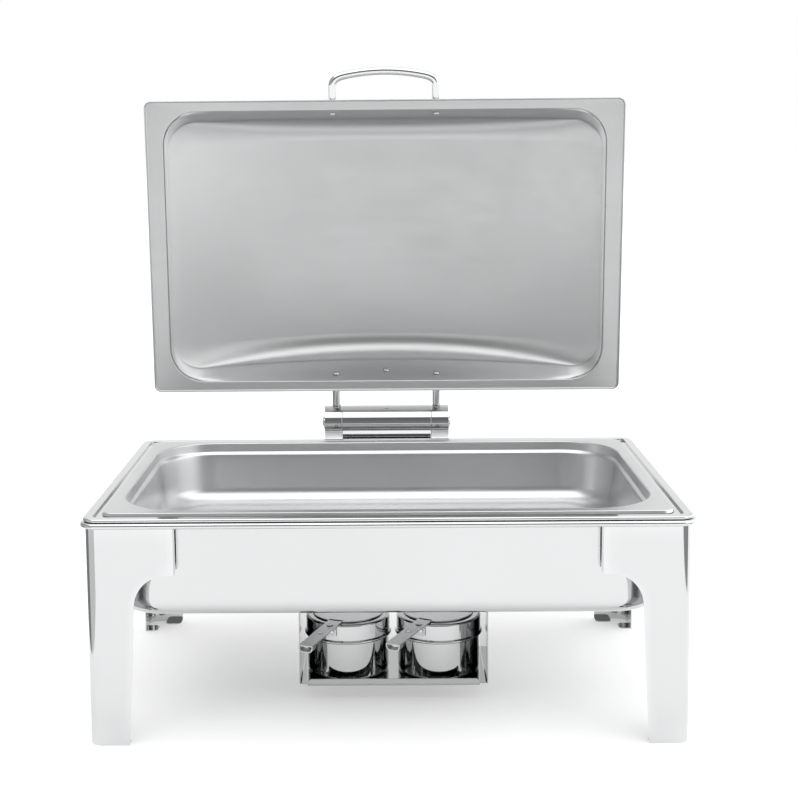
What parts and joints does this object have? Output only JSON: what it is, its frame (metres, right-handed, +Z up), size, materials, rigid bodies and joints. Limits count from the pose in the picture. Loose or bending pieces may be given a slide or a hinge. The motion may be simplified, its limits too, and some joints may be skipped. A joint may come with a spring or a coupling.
{
  "type": "chafing dish food warmer",
  "caption": "Rectangular stainless chafing dish with a domed hinged lid, food pan in a water pan on sheet legs, and a sliding tray of fuel burners.",
  "frame": {"origin": "middle of the box round the open dish, on the table surface under the feet", "axes": "+Z up, +X to the right seen from the front, +Y to the rear where the lid is hinged; the burner tray slides out towards -Y"},
  "size_m": [0.565, 0.4512, 0.639],
  "materials": {
    "mirror_steel": "mirror polished stainless steel, lightly buffed",
    "satin_steel": "satin stainless steel, fine straight grain",
    "strip_steel": "bright rolled stainless strip",
    "polished_steel": "polished bright, turned and drawn steel",
    "plain_steel": "plain mill finish sheet",
    "screw_steel": "zinc-bright screws and rivets",
    "bronze_bush": "sintered bronze",
    "damper_body": "moulded black housing"
  },
  "bodies": {
    "stand": {"barrel_screw_left": "screw_steel", "barrel_screw_right": "screw_steel", "bracket_screw_left": "screw_steel", "bracket_screw_right": "screw_steel", "food_pan": "satin_steel", "hinge_barrel": "polished_steel", "hinge_bracket": "mirror_steel", "hinge_bush_left": "bronze_bush", "hinge_bush_right": "bronze_bush", "hinge_damper": "damper_body", "leg_bolt_front_left_inner": "screw_steel", "leg_bolt_front_left_outer": "screw_steel", "leg_bolt_front_right_inner": "screw_steel", "leg_bolt_front_right_outer": "screw_steel", "leg_bolt_rear_left_inner": "screw_steel", "leg_bolt_rear_left_outer": "screw_steel", "leg_bolt_rear_right_inner": "screw_steel", "leg_bolt_rear_right_outer": "screw_steel", "leg_front_left": "mirror_steel", "leg_front_right": "mirror_steel", "leg_rear_left": "mirror_steel", "leg_rear_right": "mirror_steel", "rail_rivet_left_front": "screw_steel", "rail_rivet_left_rear": "screw_steel", "rail_rivet_right_front": "screw_steel", "rail_rivet_right_rear": "screw_steel", "stand_ring": "mirror_steel", "tray_rail_left": "plain_steel", "tray_rail_right": "plain_steel", "water_pan": "mirror_steel"},
    "lid": {"collar_set_screw_left": "screw_steel", "collar_set_screw_right": "screw_steel", "handle_screw_left": "screw_steel", "handle_screw_right": "screw_steel", "hinge_axle": "screw_steel", "hinge_cap_left": "polished_steel", "hinge_cap_right": "polished_steel", "hinge_collar_left": "polished_steel", "hinge_collar_right": "polished_steel", "hinge_plate_screw_centre": "screw_steel", "hinge_plate_screw_left": "screw_steel", "hinge_plate_screw_right": "screw_steel", "hinge_rod_left": "polished_steel", "hinge_rod_right": "polished_steel", "lid_handle": "polished_steel", "lid_hinge_plate": "plain_steel", "lid_shell": "satin_steel"},
    "tray": {"bracket_rivet_left": "screw_steel", "bracket_rivet_right": "screw_steel", "burner_tray": "mirror_steel", "cover_bracket_left": "strip_steel", "cover_bracket_right": "strip_steel", "fuel_cover_left": "polished_steel", "fuel_cover_right": "polished_steel", "fuel_cup_left": "polished_steel", "fuel_cup_right": "polished_steel", "regulator_rivet_left": "screw_steel", "regulator_rivet_right": "screw_steel"},
    "regulator_left": {"flame_regulator_left": "strip_steel"},
    "regulator_right": {"flame_regulator_right": "strip_steel"}
  },
  "joints": [
    {"name": "lid_hinge", "type": "hinge", "parent": "stand", "child": "lid", "pos_m": [0, 0.16387, 0.2286], "axis": [1, 0, 0], "range_deg": [0, 85.25]},
    {"name": "tray_slide", "type": "slide", "parent": "stand", "child": "tray", "axis": [0, -1, 0], "range_m": [0, 0.1]},
    {"name": "regulator_left_swing", "type": "hinge", "parent": "tray", "child": "regulator_left", "pos_m": [-0.05793, -0.11965, 0.079], "axis": [0, 0, 1], "range_deg": [-11, 11]},
    {"name": "regulator_right_swing", "type": "hinge", "parent": "tray", "child": "regulator_right", "pos_m": [0.03008, -0.11799, 0.079], "axis": [0, 0, 1], "range_deg": [-11, 11]}
  ]
}
